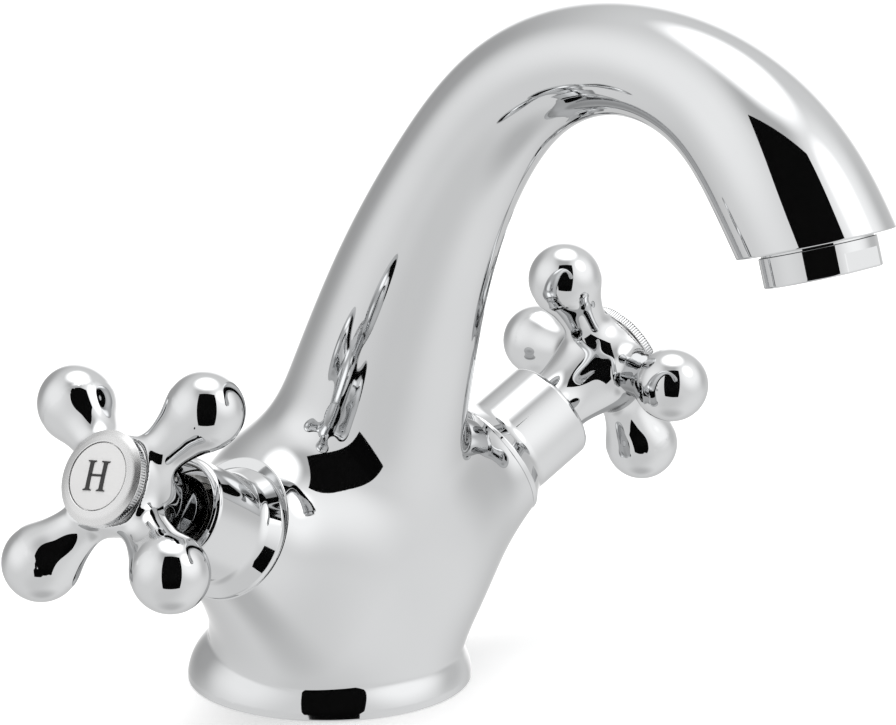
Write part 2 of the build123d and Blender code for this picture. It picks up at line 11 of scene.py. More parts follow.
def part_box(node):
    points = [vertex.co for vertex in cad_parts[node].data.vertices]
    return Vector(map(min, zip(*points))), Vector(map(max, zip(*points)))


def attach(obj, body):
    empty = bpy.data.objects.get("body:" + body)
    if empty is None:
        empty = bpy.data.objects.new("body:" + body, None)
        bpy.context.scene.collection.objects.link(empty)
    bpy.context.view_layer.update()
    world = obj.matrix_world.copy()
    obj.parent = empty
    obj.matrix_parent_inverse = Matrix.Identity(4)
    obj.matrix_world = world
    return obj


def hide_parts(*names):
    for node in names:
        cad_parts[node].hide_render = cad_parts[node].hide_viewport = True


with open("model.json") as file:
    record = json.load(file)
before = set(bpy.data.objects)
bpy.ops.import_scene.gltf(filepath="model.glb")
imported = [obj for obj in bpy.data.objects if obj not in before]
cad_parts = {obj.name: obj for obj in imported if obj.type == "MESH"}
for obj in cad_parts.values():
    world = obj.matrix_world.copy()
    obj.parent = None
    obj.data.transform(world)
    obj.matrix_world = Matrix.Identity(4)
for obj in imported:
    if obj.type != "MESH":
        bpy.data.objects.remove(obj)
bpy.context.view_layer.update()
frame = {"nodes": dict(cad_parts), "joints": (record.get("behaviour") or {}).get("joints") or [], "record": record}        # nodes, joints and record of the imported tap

mm = 0.001               # sizes below are millimetres, meshes are metres
print("frame loaded,", len(frame["nodes"]), "nodes")


def placed(name, data):
    made = bpy.data.objects.new(name, data)
    bpy.context.scene.collection.objects.link(made)
    return made


# Camera at the photograph's angle: it looks at target from distance
camera = {"target": (0.0, -34.65, 72.51), "distance": 803.14, "turn": 45.72, "dip": 14.93,
          "lens": 165.97}

turn, dip = math.radians(camera["turn"]), math.radians(camera["dip"])
sight = Vector((math.cos(dip) * math.cos(turn), math.cos(dip) * math.sin(turn), -math.sin(dip)))
cameraData = bpy.data.cameras.new("camera")
cameraData.lens = camera["lens"]
cameraData.clip_start, cameraData.clip_end = 0.05, 20.0
cameraObject = placed("camera", cameraData)
cameraObject.location = (Vector(camera["target"]) - sight * camera["distance"]) * mm
cameraObject.rotation_euler = sight.to_track_quat("-Z", "Y").to_euler()
bpy.context.scene.camera = cameraObject


# Finishes: a wrapped socket takes + - and *, so a pattern reads as a sum
class Wire:
    def __init__(self, finish, socket):
        self.finish, self.socket = finish, socket

    def __add__(self, other):
        return self.finish.maths("ADD", self, other)

    def __radd__(self, other):
        return self.finish.maths("ADD", other, self)

    def __rsub__(self, other):
        return self.finish.maths("SUBTRACT", other, self)

    def __mul__(self, other):
        return self.finish.maths("MULTIPLY", self, other)

    def __rmul__(self, other):
        return self.finish.maths("MULTIPLY", other, self)


class Finish:
    def __init__(self, name, **constants):
        self.material = bpy.data.materials.new(name)
        self.material.use_nodes = True
        self.tree = self.material.node_tree
        self.tree.nodes.clear()
        output = self.tree.nodes.new("ShaderNodeOutputMaterial")
        self.shader = self.tree.nodes.new("ShaderNodeBsdfPrincipled")
        self.tree.links.new(self.shader.outputs[0], output.inputs["Surface"])
        for socketName, value in constants.items():
            self.shader.inputs[socketName.replace("_", " ")].default_value = value

    def node(self, kind, settings=None, outlet=0, **values):
        made = self.tree.nodes.new(kind)
        for setting, value in (settings or {}).items():
            setattr(made, setting, value)
        for socketName, value in values.items():
            number = int(socketName[2:]) if socketName.startswith("in") else None
            socket = made.inputs[number if number is not None else socketName.replace("_", " ")]
            if isinstance(value, Wire):
                self.tree.links.new(value.socket, socket)
            else:
                socket.default_value = value
        return Wire(self, made.outputs[outlet])

    def maths(self, operation, first, second=0.0):
        return self.node("ShaderNodeMath", {"operation": operation}, in0=first, in1=second)

    def place(self):
        return self.node("ShaderNodeTexCoord", outlet=3)      # Object coordinates

    def noise(self, scale, detail):
        return self.node("ShaderNodeTexNoise", Vector=self.place(), Scale=scale, Detail=detail)

    def mix(self, share, first, second):
        return self.node("ShaderNodeMix", {"data_type": "RGBA"}, outlet=2,
                         in0=share, in6=first, in7=second)

    def drive(self, socketName, wire):
        self.tree.links.new(wire.socket, self.shader.inputs[socketName])

    def bump(self, height, distance, strength):
        self.drive("Normal", self.node("ShaderNodeBump", Height=height, Distance=distance,
                                       Strength=strength))


def grey(value, warmth=0.0):
    return (value * (1 + warmth), value, value * (1 - warmth), 1.0)


def chromeFinish():
    # polished chrome plate: a cool mirror with faint cloudiness and a trace of wiping marks
    chrome = Finish("polished_chrome", Metallic=1.0, Specular_Tint=grey(0.75))
    cloud = chrome.noise(45.0, 2.0)
    wipe = chrome.noise(700.0, 4.0)
    chrome.drive("Base Color", chrome.mix(cloud, grey(0.60, -0.012), grey(0.64, -0.008)))
    chrome.drive("Roughness", 0.012 + 0.02 * cloud + 0.012 * wipe)
    return chrome.material


def grainedFinish(name, grain, shades, roughness, relief=None, **constants):
    # one noise drives the colour, the roughness and, where it is given, a slight relief
    finish = Finish(name, **constants)
    lay = finish.noise(*grain)                            # scale, detail
    finish.drive("Base Color", finish.mix(lay, *shades))
    smoothest, spread = roughness
    finish.drive("Roughness", smoothest + spread * lay)
    if relief:
        finish.bump(lay, *relief)                         # distance, strength
    return finish.material


finishes = {
    "chrome": chromeFinish(),
    # the index cap, duller than the body
    "satin": grainedFinish(
        "satin_chrome", (2600.0, 2.0), (grey(0.66), grey(0.72)), (0.22, 0.1), (0.00001, 0.3),
        Metallic=1.0),
    # turning marks across the piece
    "brass": grainedFinish(
        "machined_brass", (900.0, 3.0), ((0.62, 0.43, 0.18, 1.0), (0.78, 0.58, 0.28, 1.0)),
        (0.22, 0.16), (0.00002, 0.3), Metallic=1.0),
    # plate on the valve body and spindle, seen inside the shroud's mouth
    "nickel": grainedFinish(
        "nickel_plate", (900.0, 3.0), ((0.44, 0.43, 0.41, 1.0), (0.54, 0.53, 0.51, 1.0)),
        (0.04, 0.05), Metallic=1.0),
    "steel": grainedFinish(
        "ground_stainless", (1500.0, 4.0), (grey(0.42), grey(0.56)), (0.2, 0.15), Metallic=1.0),
    # matt, with a dusty bloom
    "rubber": grainedFinish(
        "seal_rubber", (400.0, 5.0), (grey(0.012), grey(0.035)), (0.55, 0.25), (0.00003, 0.4),
        Specular_IOR_Level=0.35),
    "ceramic": grainedFinish(
        "lapped_ceramic", (1200.0, 3.0), ((0.80, 0.79, 0.75, 1.0), (0.9, 0.89, 0.86, 1.0)),
        (0.14, 0.12)),
    "polymer": grainedFinish(
        "moulded_acetal", (300.0, 3.0), (grey(0.62, 0.01), grey(0.72, 0.01)), (0.42, 0.15),
        (0.00003, 0.2)),
    "index_white": grainedFinish(
        "white_enamel", (120.0, 3.0), (grey(0.60, 0.004), grey(0.66, 0.004)), (0.22, 0.08)),
    "ink": grainedFinish(
        "black_enamel", (600.0, 3.0), (grey(0.004), grey(0.012)), (0.35, 0.15)),
}
for part in frame["record"]["subparts"]:
    cadMesh = frame["nodes"][part["node"]].data
    cadMesh.materials.clear()
    plated = part["node"].endswith(("valve_body", "spindle"))
    cadMesh.materials.append(finishes["nickel" if plated else part["material_slot"]])
print("finishes made:", len(finishes))


# Valve axes from the joints: X to the front, Z outwards along the axis
valves = {}
for joint in frame["joints"]:
    outwards = np.array(joint["axis"], float)
    outwards /= np.linalg.norm(outwards)
    forwards = np.array([0.0, -1.0, 0.0])
    forwards -= outwards * forwards.dot(outwards)
    forwards /= np.linalg.norm(forwards)
    valves[joint["child"].split("_")[0]] = {
        "start": np.array(joint["pos_m"], float) / mm,
        "axes": np.column_stack([forwards, np.cross(outwards, forwards), outwards]),
    }


class Skin:
    # vertices in millimetres, faces, and the true normal at each face corner
    def __init__(self):
        self.points, self.faces, self.normals = [], [], []
        self.count = 0

    def add(self, points, faces, normals):
        shift = self.count
        self.points.append(np.asarray(points, float))
        self.count += len(points)
        self.faces += [tuple(shift + i for i in face) for face in faces]
        self.normals += list(normals)

    def welded(self):
        # bands that meet share their points, and a corner that has closed up is dropped
        points = np.vstack(self.points)
        _, first, number = np.unique(np.round(points, 4), axis=0, return_index=True,
                                     return_inverse=True)
        number = number.ravel()
        faces, normals = [], []
        for face, corners in zip(self.faces, self.normals):
            kept = {}
            for i, normal in zip(face, corners):
                kept.setdefault(int(number[i]), normal)
            if len(kept) > 2:
                faces.append(list(kept))
                normals += list(kept.values())
        return points[first], faces, normals

    def piece(self, name, finish, body, nodes=(), slot=None):
        points, faces, normals = self.welded()
        mesh = bpy.data.meshes.new(name)
        mesh.from_pydata((points * mm).tolist(), [], faces)
        mesh.polygons.foreach_set("use_smooth", [True] * len(mesh.polygons))
        mesh.materials.append(finishes[finish])
        mesh.normals_split_custom_set(normals)
        made = placed(name, mesh)
        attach(made, body)
        if nodes:
            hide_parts(*nodes)
        print(name, len(mesh.polygons), "faces")


def unit(vectors):
    return vectors / np.maximum(np.linalg.norm(vectors, axis=-1, keepdims=True), 1e-12)


# Turned pieces: corners are (radius, place along the axis, rounding), anticlockwise from outside
def softened(corners, closed=True, arcStep=math.radians(9)):
    strokes = []
    count = len(corners)
    entries, exits = [], []
    for i, (r, s, rounding) in enumerate(corners):
        here = np.array([r, s], float)
        if rounding == 0 or (not closed and i in (0, count - 1)):
            entries.append(here)
            exits.append(here)
            continue
        before = unit(np.array(corners[i - 1][:2]) - here)
        after = unit(np.array(corners[(i + 1) % count][:2]) - here)
        half = math.acos(np.clip(before @ after, -1, 1)) / 2
        reach = rounding / math.tan(half)
        centre = here + unit(before + after) * rounding / math.sin(half)
        first, last = here + before * reach, here + after * reach
        startAngle = math.atan2(*(first - centre)[::-1])
        sweep = math.atan2(*(last - centre)[::-1]) - startAngle
        sweep = (sweep + math.pi) % (2 * math.pi) - math.pi
        steps = max(3, int(abs(sweep) / arcStep))
        angles = startAngle + sweep * np.arange(steps + 1) / steps
        rays = np.column_stack([np.cos(angles), np.sin(angles)])
        strokes.append((i, centre + rounding * rays, rays * (1 if sweep > 0 else -1)))
        entries.append(first)
        exits.append(last)
    lines = []
    for i in range(count if closed else count - 1):
        a, b = exits[i], entries[(i + 1) % count]
        along = unit(b - a)
        facing = np.array([along[1], -along[0]])
        for rounded in [x for x in strokes if x[0] == i]:
            lines.append(rounded[1:])
        if np.linalg.norm(b - a) > 1e-6:
            lines.append((np.array([a, b]), np.array([facing, facing])))
    return lines


def turnedSkin(skin, lines, place, steps=192):
    start, axes = place["start"], place["axes"]
    angles = 2 * math.pi * np.arange(steps) / steps
    ring = np.column_stack([np.cos(angles), np.sin(angles), np.zeros(steps)])
    up = np.array([0.0, 0.0, 1.0])
    for points, facings in lines:
        count = len(points)
        local = (points[:, 0, None, None] * ring + points[:, 1, None, None] * up).reshape(-1, 3)
        normal = (facings[:, 0, None, None] * ring + facings[:, 1, None, None] * up).reshape(-1, 3)
        normal = unit(normal @ axes.T)
        faces, corners = [], []
        for k in range(count - 1):
            for j in range(steps):
                i = (j + 1) % steps
                face = [k * steps + j, k * steps + i, (k + 1) * steps + i, (k + 1) * steps + j]
                if points[k][0] < 1e-6:
                    face = [face[0], face[2], face[3]]
                elif points[k + 1][0] < 1e-6:
                    face = face[:3]
                faces.append(face)
                corners.append([tuple(normal[c]) for c in face])
        skin.add(local @ axes.T + start, faces, corners)
    return skin


# Smooth skins of cast pieces: a field is negative inside, its zero surface is netted and relaxed
def splineThrough(places, values, startSlope=None, endSlope=None):
    places, values = np.array(places, float), np.array(values, float)
    gaps, rises = np.diff(places), np.diff(values)
    count = len(places)
    matrix, right = np.zeros((count, count)), np.zeros(count)
    for i in range(1, count - 1):
        matrix[i, i - 1:i + 2] = gaps[i - 1], 2 * (gaps[i - 1] + gaps[i]), gaps[i]
        right[i] = 6 * (rises[i] / gaps[i] - rises[i - 1] / gaps[i - 1])
    matrix[0, 0] = matrix[-1, -1] = 1
    if startSlope is not None:
        matrix[0, :2] = 2 * gaps[0], gaps[0]
        right[0] = 6 * (rises[0] / gaps[0] - startSlope)
    if endSlope is not None:
        matrix[-1, -2:] = gaps[-1], 2 * gaps[-1]
        right[-1] = 6 * (endSlope - rises[-1] / gaps[-1])
    bends = np.linalg.solve(matrix, right)

    def curve(t):
        t = np.asarray(t, float)
        i = np.clip(np.searchsorted(places, t) - 1, 0, count - 2)
        h, a, b = gaps[i], places[i + 1] - t, t - places[i]
        inside = (bends[i] * a ** 3 + bends[i + 1] * b ** 3) / (6 * h)
        inside += (values[i] / h - bends[i] * h / 6) * a
        inside += (values[i + 1] / h - bends[i + 1] * h / 6) * b
        firstSlope = rises[0] / gaps[0] - gaps[0] * (2 * bends[0] + bends[1]) / 6
        lastSlope = rises[-1] / gaps[-1] + gaps[-1] * (bends[-2] + 2 * bends[-1]) / 6
        inside = np.where(t < places[0], values[0] + firstSlope * (t - places[0]), inside)
        return np.where(t > places[-1], values[-1] + lastSlope * (t - places[-1]), inside)

    return curve


def blended(first, second, reach):
    share = np.maximum(reach - np.abs(first - second), 0) / reach
    return np.minimum(first, second) - share ** 3 * reach / 6


def slopeOf(field, points, step=0.02):
    shifts = np.eye(3) * step
    return np.column_stack([(field(points + s) - field(points - s)) / (2 * step) for s in shifts])


def settled(field, points, rounds, flattest=0.2, longest=1.0):
    # Newton steps to the zero surface, held back where the field is flat
    for _ in range(rounds):
        slope = slopeOf(field, points)
        stride = field(points) / np.maximum((slope ** 2).sum(1), flattest)
        points = points - slope * np.clip(stride, -longest, longest)[:, None]
    return points


def nettedSkin(field, xs, ys, zs, relax=2, block=4, margin=1.2, pull=0.6):
    # only blocks near the surface are sampled finely, the rest takes the sign of its block
    xs, ys, zs = (levels[:len(levels) // block * block] for levels in (xs, ys, zs))
    middles = np.meshgrid(*(levels.reshape(-1, block).mean(1) for levels in (xs, ys, zs)),
                          indexing="ij")
    coarse = field(np.column_stack([m.ravel() for m in middles])).reshape(middles[0].shape)
    reach = margin * block * np.sqrt(sum(np.diff(levels).max() ** 2 for levels in (xs, ys, zs)))
    whole = coarse.repeat(block, 0).repeat(block, 1).repeat(block, 2)
    near = (np.abs(coarse) < reach).repeat(block, 0).repeat(block, 1).repeat(block, 2)
    i, j, k = np.nonzero(near)
    whole[i, j, k] = field(np.column_stack([xs[i], ys[j], zs[k]]))
    inside = whole < 0
    corners = [inside[a:len(xs) - 1 + a, b:len(ys) - 1 + b, c:len(zs) - 1 + c]
               for a in (0, 1) for b in (0, 1) for c in (0, 1)]
    crossed = np.logical_or.reduce(corners) & ~np.logical_and.reduce(corners)
    number = np.full(crossed.shape, -1)
    number[crossed] = np.arange(crossed.sum())
    total, hits = np.zeros((crossed.sum(), 3)), np.zeros(crossed.sum())
    quads = []
    for axis in range(3):
        low = [slice(None)] * 3
        high = [slice(None)] * 3
        low[axis], high[axis] = slice(None, -1), slice(1, None)
        flips = np.argwhere(inside[tuple(low)] != inside[tuple(high)])
        others = [a for a in range(3) if a != axis]
        limits = np.array(crossed.shape)
        keep = np.all([(flips[:, a] > 0) & (flips[:, a] < limits[a]) for a in others], axis=0)
        flips = flips[keep]
        far = flips.copy()
        far[:, axis] += 1
        a, b = whole[tuple(flips.T)], whole[tuple(far.T)]
        place = [np.column_stack([xs[p[:, 0]], ys[p[:, 1]], zs[p[:, 2]]]) for p in (flips, far)]
        crossing = place[0] + (place[1] - place[0]) * (a / (a - b))[:, None]
        cells = []
        for u, v in ((0, 0), (1, 0), (1, 1), (0, 1)):
            cell = flips.copy()
            cell[:, others[0]] -= u
            cell[:, others[1]] -= v
            index = number[tuple(cell.T)]
            np.add.at(total, index, crossing)
            np.add.at(hits, index, 1)
            cells.append(index)
        around = np.column_stack(cells)
        flip = (a < 0) == (axis == 1)
        around[flip] = around[flip][:, ::-1]
        quads.append(around)
    quads = np.vstack(quads)
    points = settled(field, total / hits[:, None], 2)
    for _ in range(relax):
        summed, count = np.zeros_like(points), np.zeros(len(points))
        for a, b in ((0, 1), (1, 2), (2, 3), (3, 0)):
            for c, d in ((a, b), (b, a)):
                np.add.at(summed, quads[:, c], points[quads[:, d]])
                np.add.at(count, quads[:, c], 1)
        points = settled(field, (1 - pull) * points + pull * summed / count[:, None], 1)
    return settled(field, points, 1), quads


def trimmedSkin(points, quads, planes, onPlane=0.02):
    # cuts away what lies past each plane, and walks the open edge that each cut leaves
    work = bmesh.new()
    made = [work.verts.new(p) for p in points]
    for quad in quads:
        work.faces.new([made[i] for i in quad])
    for point, normal, reach in planes:
        near = [v for v in work.verts if (v.co - Vector(point)).length < reach]
        faces = {face for v in near for face in v.link_faces}
        edges = {edge for face in faces for edge in face.edges}
        around = {v for face in faces for v in face.verts}
        bmesh.ops.bisect_plane(work, geom=list(around) + list(edges) + list(faces),
                               plane_co=point, plane_no=normal, clear_outer=True)
    work.verts.index_update()
    points = np.array([v.co for v in work.verts])
    faces = [[v.index for v in face.verts] for face in work.faces]
    onwards = {}
    for face in work.faces:
        for corner in face.loops:
            if len(corner.edge.link_faces) == 1:
                onwards[corner.link_loop_next.vert.index] = corner.vert.index
    work.free()
    loops = []
    for point, normal, reach in planes:
        left = {i for i in onwards if abs((points[i] - point) @ normal) < onPlane
                and np.linalg.norm(points[i] - point) < reach}
        first = min(left, key=lambda i: tuple(points[i]))
        loop, here = [first], onwards[first]
        while here != first:
            loop.append(here)
            here = onwards[here]
        loops.append(loop)
    return points, faces, loops


def ringsOn(skin, rings, closing=None):
    # bands between successive rings of points: each ring is (points, normals before, normals after)
    count = len(rings[0][0])
    faces, corners = [], []
    points = np.vstack([ring[0] for ring in rings])
    for k in range(len(rings) - 1):
        low, high = rings[k][2], rings[k + 1][1]
        for j in range(count):
            i = (j + 1) % count
            faces.append([k * count + j, k * count + i, (k + 1) * count + i, (k + 1) * count + j])
            corners.append([tuple(low[j]), tuple(low[i]), tuple(high[i]), tuple(high[j])])
    if closing is not None:
        last = (len(rings) - 1) * count
        points = np.vstack([points, rings[-1][0].mean(0)])
        for j in range(count):
            faces.append([last + j, last + (j + 1) % count, len(points) - 1])
            corners.append([tuple(closing)] * 3)
    skin.add(points, faces, corners)


def flatOn(skin, outlines, normal):
    # a flat face inside the first outline, open inside the others
    corners = np.vstack(outlines)
    triangles = [list(t) for t in tessellate_polygon([[Vector(p) for p in o] for o in outlines])]
    for triangle in triangles:
        a, b, c = corners[triangle]
        if np.cross(b - a, c - a) @ normal < 0:
            triangle.reverse()
    skin.add(corners, triangles, [[tuple(normal)] * 3 for _ in triangles])


def roundedEdge(loopPoints, facing, planeNormal, roundness, steps=5):
    # an edge rounding from the cut skin over to the flat end face
    sideways = unit(facing - planeNormal * (facing @ planeNormal)[:, None])
    rings = []
    for k in range(steps + 1):
        angle = math.pi / 2 * k / steps
        normals = unit(facing * math.cos(angle) + planeNormal * math.sin(angle))
        points = loopPoints - sideways * roundness * (1 - math.cos(angle))
        points = points + planeNormal * roundness * math.sin(angle)
        rings.append((points, normals, normals))
    return rings


def boreRings(edge, centre, planeNormal, radius, depth):
    # from the edge of an end face to a bore, down its wall and across its floor
    flat = np.tile(planeNormal, (len(edge), 1))
    rays = edge - centre
    rays = unit(rays - planeNormal * (rays @ planeNormal)[:, None])
    mouth = centre + rays * radius
    return [(edge, flat, flat), (mouth, flat, -rays),
            (mouth - planeNormal * depth, -rays, flat)]


# Body: foot, neck, spout and both arms in one casting
body = {
    "stations": [(-0.9, 3.0, 25.6), (-1.3, 9.5, 25.2), (-3.8, 24.0, 22.6), (-7.8, 41.0, 20.6),
                 (-14.5, 61.7, 18.3), (-24.4, 87.5, 15.35), (-37.2, 110.6, 12.95),
                 (-54.0, 129.1, 11.6), (-82.0, 138.8, 10.54), (-107.3, 132.9, 12.1),
                 (-121.3, 120.8, 13.9), (-131.0, 107.1, 14.1)],      # (y, z, radius)
    "startLean": 4.0, "endTurn": 147.0, "samples": 220,
    "arms": [(3.0, 19.3, 21.4), (15.9, 19.3, 21.2), (28.0, 15.2, 17.0), (40.66, 13.14, 13.14)],
    "armFace": 40.66, "armBlend": 14.0, "footBlend": 1.0,
    "shoulder": (12.5, -5.3, 35.0, 22.0), "shoulderBlend": 12.0,    # x, y, z, radius
    "foot": [(1.4, 28.98), (6.6, 26.9), (13.0, 21.0)], "footSlopes": (-0.15, -0.8),
    "outlet": (-127.85, 112.0), "outletTilt": 17.3, "edge": 0.35, "grid": 1.0,
    "fineGrid": (-2.4, 14.0), "gridMargins": (4.0, 6.0, 5.0),       # bottom, top; low, high, above
    "trimReach": {"foot": 60, "outlet": 26, "arm": 20}, "holeSteps": 48, "pointsAtOnce": 20000,
    "aeratorBore": (10.78, 6.4), "valveBore": (10.5, 9.6),
    "groove": (26.2, 22.6, 2.0), "studHole": (0.0, 14.5, 4.0, 16.0),
    "inletHole": (9.57, -6.70, 5.0, 11.0),
}

stations = np.array(body["stations"])
strides = np.concatenate([[0], np.cumsum(np.linalg.norm(np.diff(stations[:, :2], axis=0), axis=1))])
lean, bend = math.radians(body["startLean"]), math.radians(body["endTurn"])
neckY = splineThrough(strides, stations[:, 0], -math.sin(lean), -math.sin(bend))
neckZ = splineThrough(strides, stations[:, 1], math.cos(lean), math.cos(bend))
neckRadius = splineThrough(strides, stations[:, 2])
neckSteps = np.linspace(0, strides[-1], body["samples"])
neckLine = np.column_stack([neckY(neckSteps), neckZ(neckSteps), neckRadius(neckSteps)])


def neckField(points):
    # distance to the spheres strung along the centre line, the nearest place refined
    result = np.empty(len(points))
    stride, step = neckSteps[1], body["pointsAtOnce"]
    for start in range(0, len(points), step):
        part = points[start:start + step]
        x, y, z = part.T[..., None]
        far = np.sqrt(x ** 2 + (y - neckLine[:, 0]) ** 2 + (z - neckLine[:, 1]) ** 2)
        far -= neckLine[:, 2]
        k = np.clip(far.argmin(1), 1, len(neckSteps) - 2)
        rows = np.arange(len(part))
        a, b, c = far[rows, k - 1], far[rows, k], far[rows, k + 1]
        shift = np.clip((a - c) / (2 * np.maximum(a - 2 * b + c, 1e-9)), -1, 1)
        t = (k + shift) * stride
        centre = np.column_stack([np.zeros(len(t)), neckY(t), neckZ(t)])
        result[start:start + step] = np.linalg.norm(part - centre, axis=1) - neckRadius(t)
    return result


armPlaces, armWidths, armHeights = np.array(body["arms"]).T
armWidth = splineThrough(armPlaces, armWidths, 0.0)
armHeight = splineThrough(armPlaces, armHeights, 0.0)


def armField(points, valve):
    front, across, out = ((points - valve["start"]) @ valve["axes"]).T
    inner = np.clip(out, armPlaces[0], armPlaces[-1] + 1)
    width, height = armWidth(inner), armHeight(inner)
    behind = np.minimum(out, 0)
    share = np.sqrt((front / width) ** 2 + (across / height) ** 2 + (behind / width) ** 2)
    return np.maximum((share - 1) * (width + height) / 2, out - armPlaces[-1] - 3)


footPlaces, footRadii = np.array(body["foot"]).T
footRadius = splineThrough(footPlaces, footRadii, *body["footSlopes"])


def footField(points):
    height = np.maximum(points[:, 2], footPlaces[0])
    lean = (footRadius(height + 0.1) - footRadius(height - 0.1)) / 0.2
    return (np.hypot(points[:, 0], points[:, 1]) - footRadius(height)) / np.sqrt(1 + lean ** 2)


def bodyField(points):
    casting = neckField(points)
    for valve in valves.values():
        casting = blended(casting, armField(points, valve), body["armBlend"])
    x, y, z, radius = body["shoulder"]
    for side in (-x, x):
        shoulder = np.linalg.norm(points - (side, y, z), axis=1) - radius
        casting = blended(casting, shoulder, body["shoulderBlend"])
    return blended(casting, footField(points), body["footBlend"])


def bodyPiece():
    edge, grid, reach = body["edge"], body["grid"], body["trimReach"]
    low, high = (np.array(corner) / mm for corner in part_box("body_casting"))
    (bottom, top), (before, after, above) = body["fineGrid"], body["gridMargins"]
    xs, ys = (np.arange(low[a] - before, high[a] + after, grid) for a in (0, 1))
    zs = np.concatenate([np.arange(bottom, top, grid / 2), np.arange(top, high[2] + above, grid)])
    points, quads = nettedSkin(bodyField, xs, ys, zs)
    tilt = math.radians(body["outletTilt"])
    outletNormal = np.array([0.0, -math.sin(tilt), -math.cos(tilt)])
    ends = [(np.array([0.0, 0.0, 0.0]), np.array([0.0, 0.0, -1.0]), reach["foot"]),
            (np.array([0.0, *body["outlet"]]), outletNormal, reach["outlet"])]
    for valve in valves.values():
        out = valve["axes"][:, 2]
        ends.append((valve["start"] + out * body["armFace"], out, reach["arm"]))
    planes = [(point - normal * edge, normal, far) for point, normal, far in ends]
    points, faces, loops = trimmedSkin(points, quads, planes)
    facing = unit(slopeOf(bodyField, points))
    skin = Skin()
    skin.add(points, faces, [[tuple(facing[i]) for i in face] for face in faces])
    for which, (loop, (centre, normal, _)) in enumerate(zip(loops, ends)):
        rounding = roundedEdge(points[loop], facing[loop], normal, edge)
        ringsOn(skin, rounding)
        rim = rounding[-1][0]
        if which:
            bore = body["aeratorBore"] if which == 1 else body["valveBore"]
            ringsOn(skin, boreRings(rim, centre, normal, *bore), normal)
        else:
            undersideOn(skin, rim, normal)
    skin.piece("tap_body", "chrome", "root", ["body_casting"], "chrome")


def undersideOn(skin, rim, down):
    # seal groove, then the flat middle with the stud hole and both inlet holes
    outer, inner, depth = body["groove"]
    flat = np.tile(down, (len(rim), 1))
    rays = unit(rim * (1, 1, 0))
    outerRing, innerRing = rays * outer, rays * inner
    up = np.array([0.0, 0.0, depth])
    rings = [(rim, flat, flat), (outerRing, flat, -rays), (outerRing + up, -rays, flat),
             (innerRing + up, flat, rays), (innerRing, rays, flat)]
    ringsOn(skin, rings)
    x, y, radius, deep = body["inletHole"]
    holes = [body["studHole"], (x, y, radius, deep), (-x, y, radius, deep)]
    turns = np.linspace(0, 2 * math.pi, body["holeSteps"], endpoint=False)
    outlines = [innerRing]
    for x, y, radius, deep in holes:
        circle = np.column_stack([np.cos(turns), np.sin(turns), np.zeros(len(turns))])
        mouth = circle * radius + (x, y, 0)
        outlines.append(mouth)
        floor = mouth + (0, 0, deep)
        flatHere = np.tile(down, (len(turns), 1))
        ringsOn(skin, [(mouth, -circle, -circle), (floor, -circle, flatHere)], down)
    flatOn(skin, outlines, down)


bodyPiece()


# Collar ring under each shroud: a thin rounded rim flowing up into the sleeve
collar = {"inner": 12.15, "radius": 13.14, "base": 40.66, "rim": 1.1, "rimEdge": 0.6,
          "flowTop": 44.9, "flow": 4.0, "top": 47.0, "lip": 42.71, "bore": 10.0, "sleeve": 10.9}


def collarPiece(side):
    c = collar
    corners = [(c["inner"], c["base"], 0), (c["radius"], c["base"], 0.12),
               (c["radius"], c["base"] + c["rim"], c["rimEdge"]),
               (c["sleeve"], c["flowTop"], c["flow"]), (c["sleeve"], c["top"], 0),
               (c["bore"], c["top"], 0), (c["bore"], c["lip"], 0), (c["inner"], c["lip"], 0)]
    skin = turnedSkin(Skin(), softened(corners), valves[side])
    skin.piece(side + "_collar", "chrome", "root", [side + "_collar_ring"], "chrome")


# Bonnet shroud: plain sleeve with a rolled mouth, a threaded web inside
shroud = {"radius": 10.9, "base": 47.0, "mouth": 59.25, "skirtBore": 10.0, "mouthBore": 9.1,
          "lip": 1.2, "innerLip": 0.55, "webStart": 50.9, "webEnd": 53.9, "webBore": 8.03}


def shroudPiece(side):
    s = shroud
    corners = [(s["skirtBore"], s["base"], 0), (s["radius"], s["base"], 0),
               (s["radius"], s["mouth"], s["lip"]), (s["mouthBore"], s["mouth"], s["innerLip"]),
               (s["mouthBore"], s["webEnd"], 0.3), (s["webBore"], s["webEnd"], 0.15),
               (s["webBore"], s["webStart"], 0), (s["skirtBore"], s["webStart"], 0)]
    skin = turnedSkin(Skin(), softened(corners), valves[side])
    skin.piece(side + "_shroud", "chrome", "root", [side + "_bonnet_shroud"], "chrome")


# Cross handle: hub like a trumpet, four pear-shaped arms, all flowing into each other
handle = {"back": 57.6, "front": 79.8, "hub": [(57.6, 7.2), (62.5, 7.0), (72.0, 9.0), (79.8, 9.2)],
          "stem": [(0.0, 5.2), (6.0, 4.85), (11.5, 4.65), (15.0, 5.4), (17.8, 6.3), (20.0, 6.9)],
          "stemSlope": -0.05, "frontBlend": 1.0, "gridMargin": 2.0, "trimReach": 12,
          "crossPlane": 75.35, "lobePlace": 22.2, "lobeRadius": 7.58, "lobeBlend": 1.5,
          "hubBlend": 4.5, "edge": 0.3, "grid": 0.5,
          "socket": (6.0, 10.0), "recess": (6.9, 70.8), "frontRadius": 8.8, "frontFlare": 0.5,
          "firstLobe": {"hot": 55.9, "cold": -3.4}}

hubRadius = splineThrough(*np.array(handle["hub"]).T, 0.0, 0.0)
stemRadius = splineThrough(*np.array(handle["stem"]).T, handle["stemSlope"])


